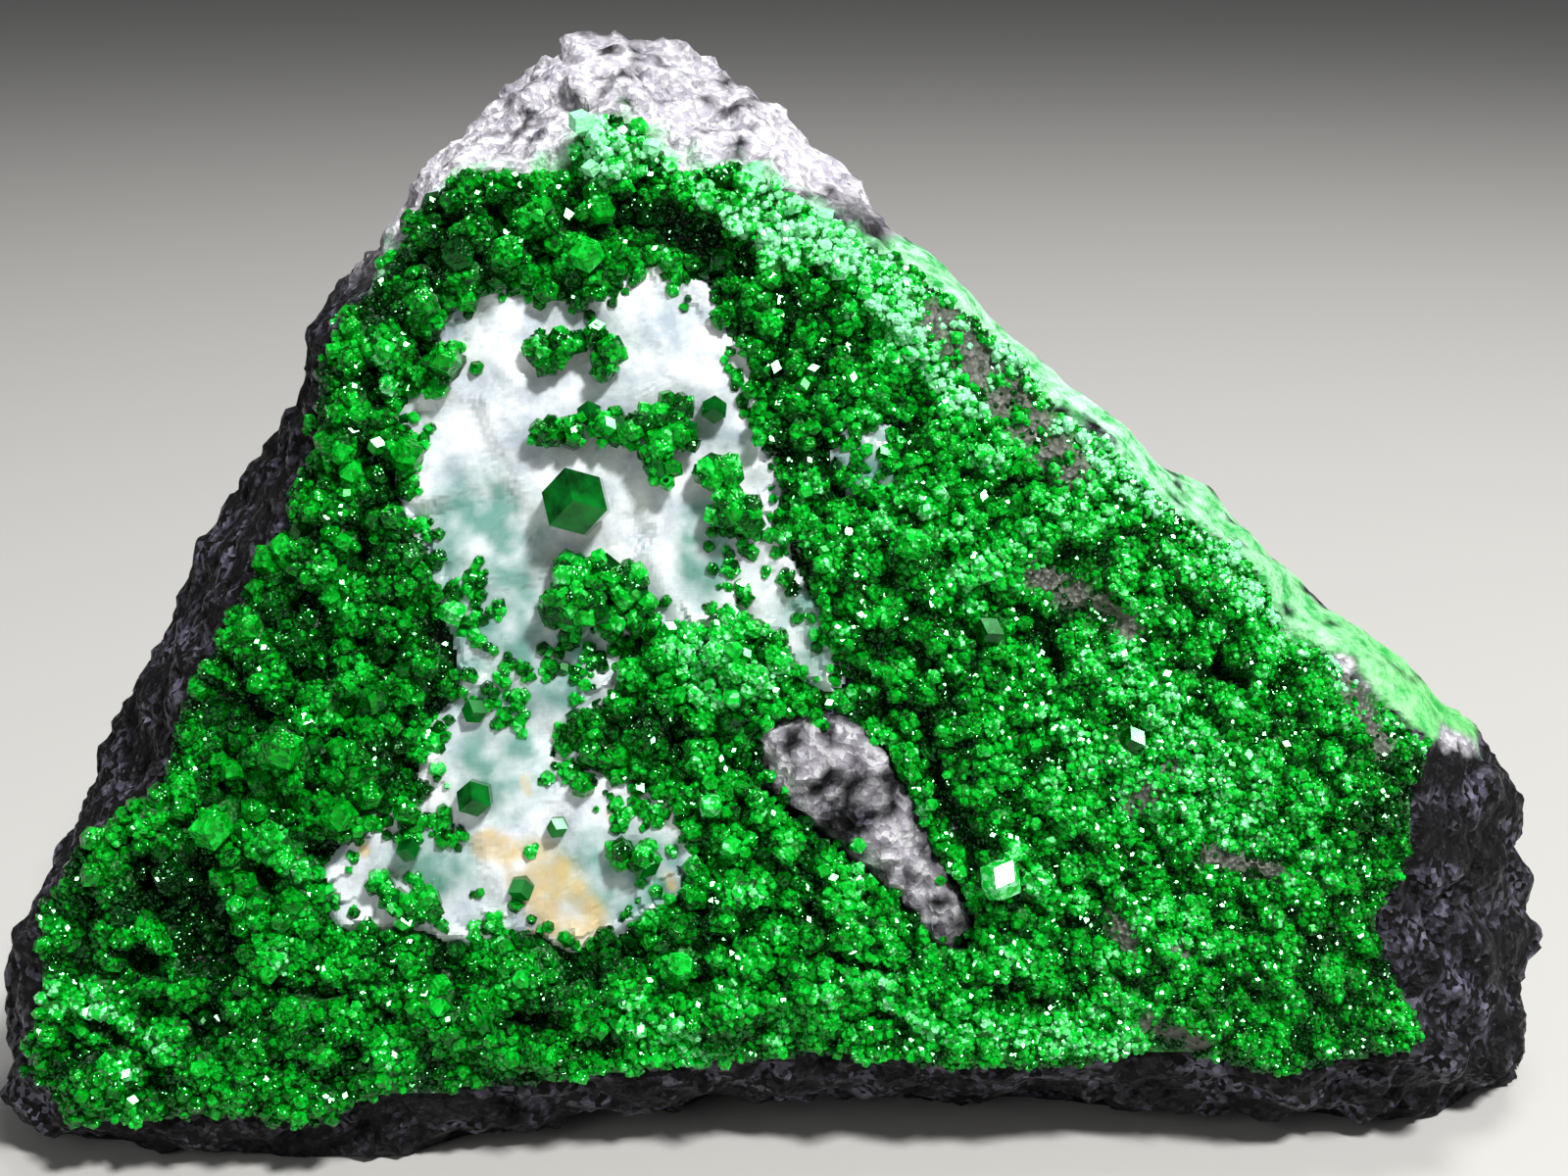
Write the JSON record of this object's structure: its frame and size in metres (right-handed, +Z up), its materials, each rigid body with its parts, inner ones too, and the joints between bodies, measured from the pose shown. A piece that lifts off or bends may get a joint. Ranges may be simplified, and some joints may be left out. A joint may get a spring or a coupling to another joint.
{
  "type": "uvarovite specimen on chromite",
  "caption": "Leaning wedge of dark chromite rock that stands on a flat base, its front coated with green garnet crystals around a white calcite vein.",
  "frame": {"origin": "middle of the specimen's bounding box, on the plane that its base stands on", "axes": "+X to the right along the crystal face, +Y from the crystal face towards the back, +Z up"},
  "size_m": [0.1072, 0.04, 0.0715],
  "materials": {
    "chromite": "matte",
    "uvarovite": "gloss",
    "calcite": "satin"
  },
  "bodies": {
    "root": {"chromite_matrix": "chromite", "uvarovite_crust": "uvarovite", "calcite_vein": "calcite", "calcite_pocket": "calcite", "large_garnet": "uvarovite", "garnet_ring": "uvarovite", "garnet_sprig": "uvarovite", "garnet_bank": "uvarovite", "garnet_stack": "uvarovite", "garnet_corner": "uvarovite", "garnet_pair_upper": "uvarovite", "garnet_pair_lower": "uvarovite", "garnet_neck": "uvarovite", "garnet_step": "uvarovite", "garnet_left": "uvarovite", "garnet_foot": "uvarovite", "garnet_bead": "uvarovite", "garnet_drop": "uvarovite", "garnet_right": "uvarovite"}
  },
  "joints": []
}
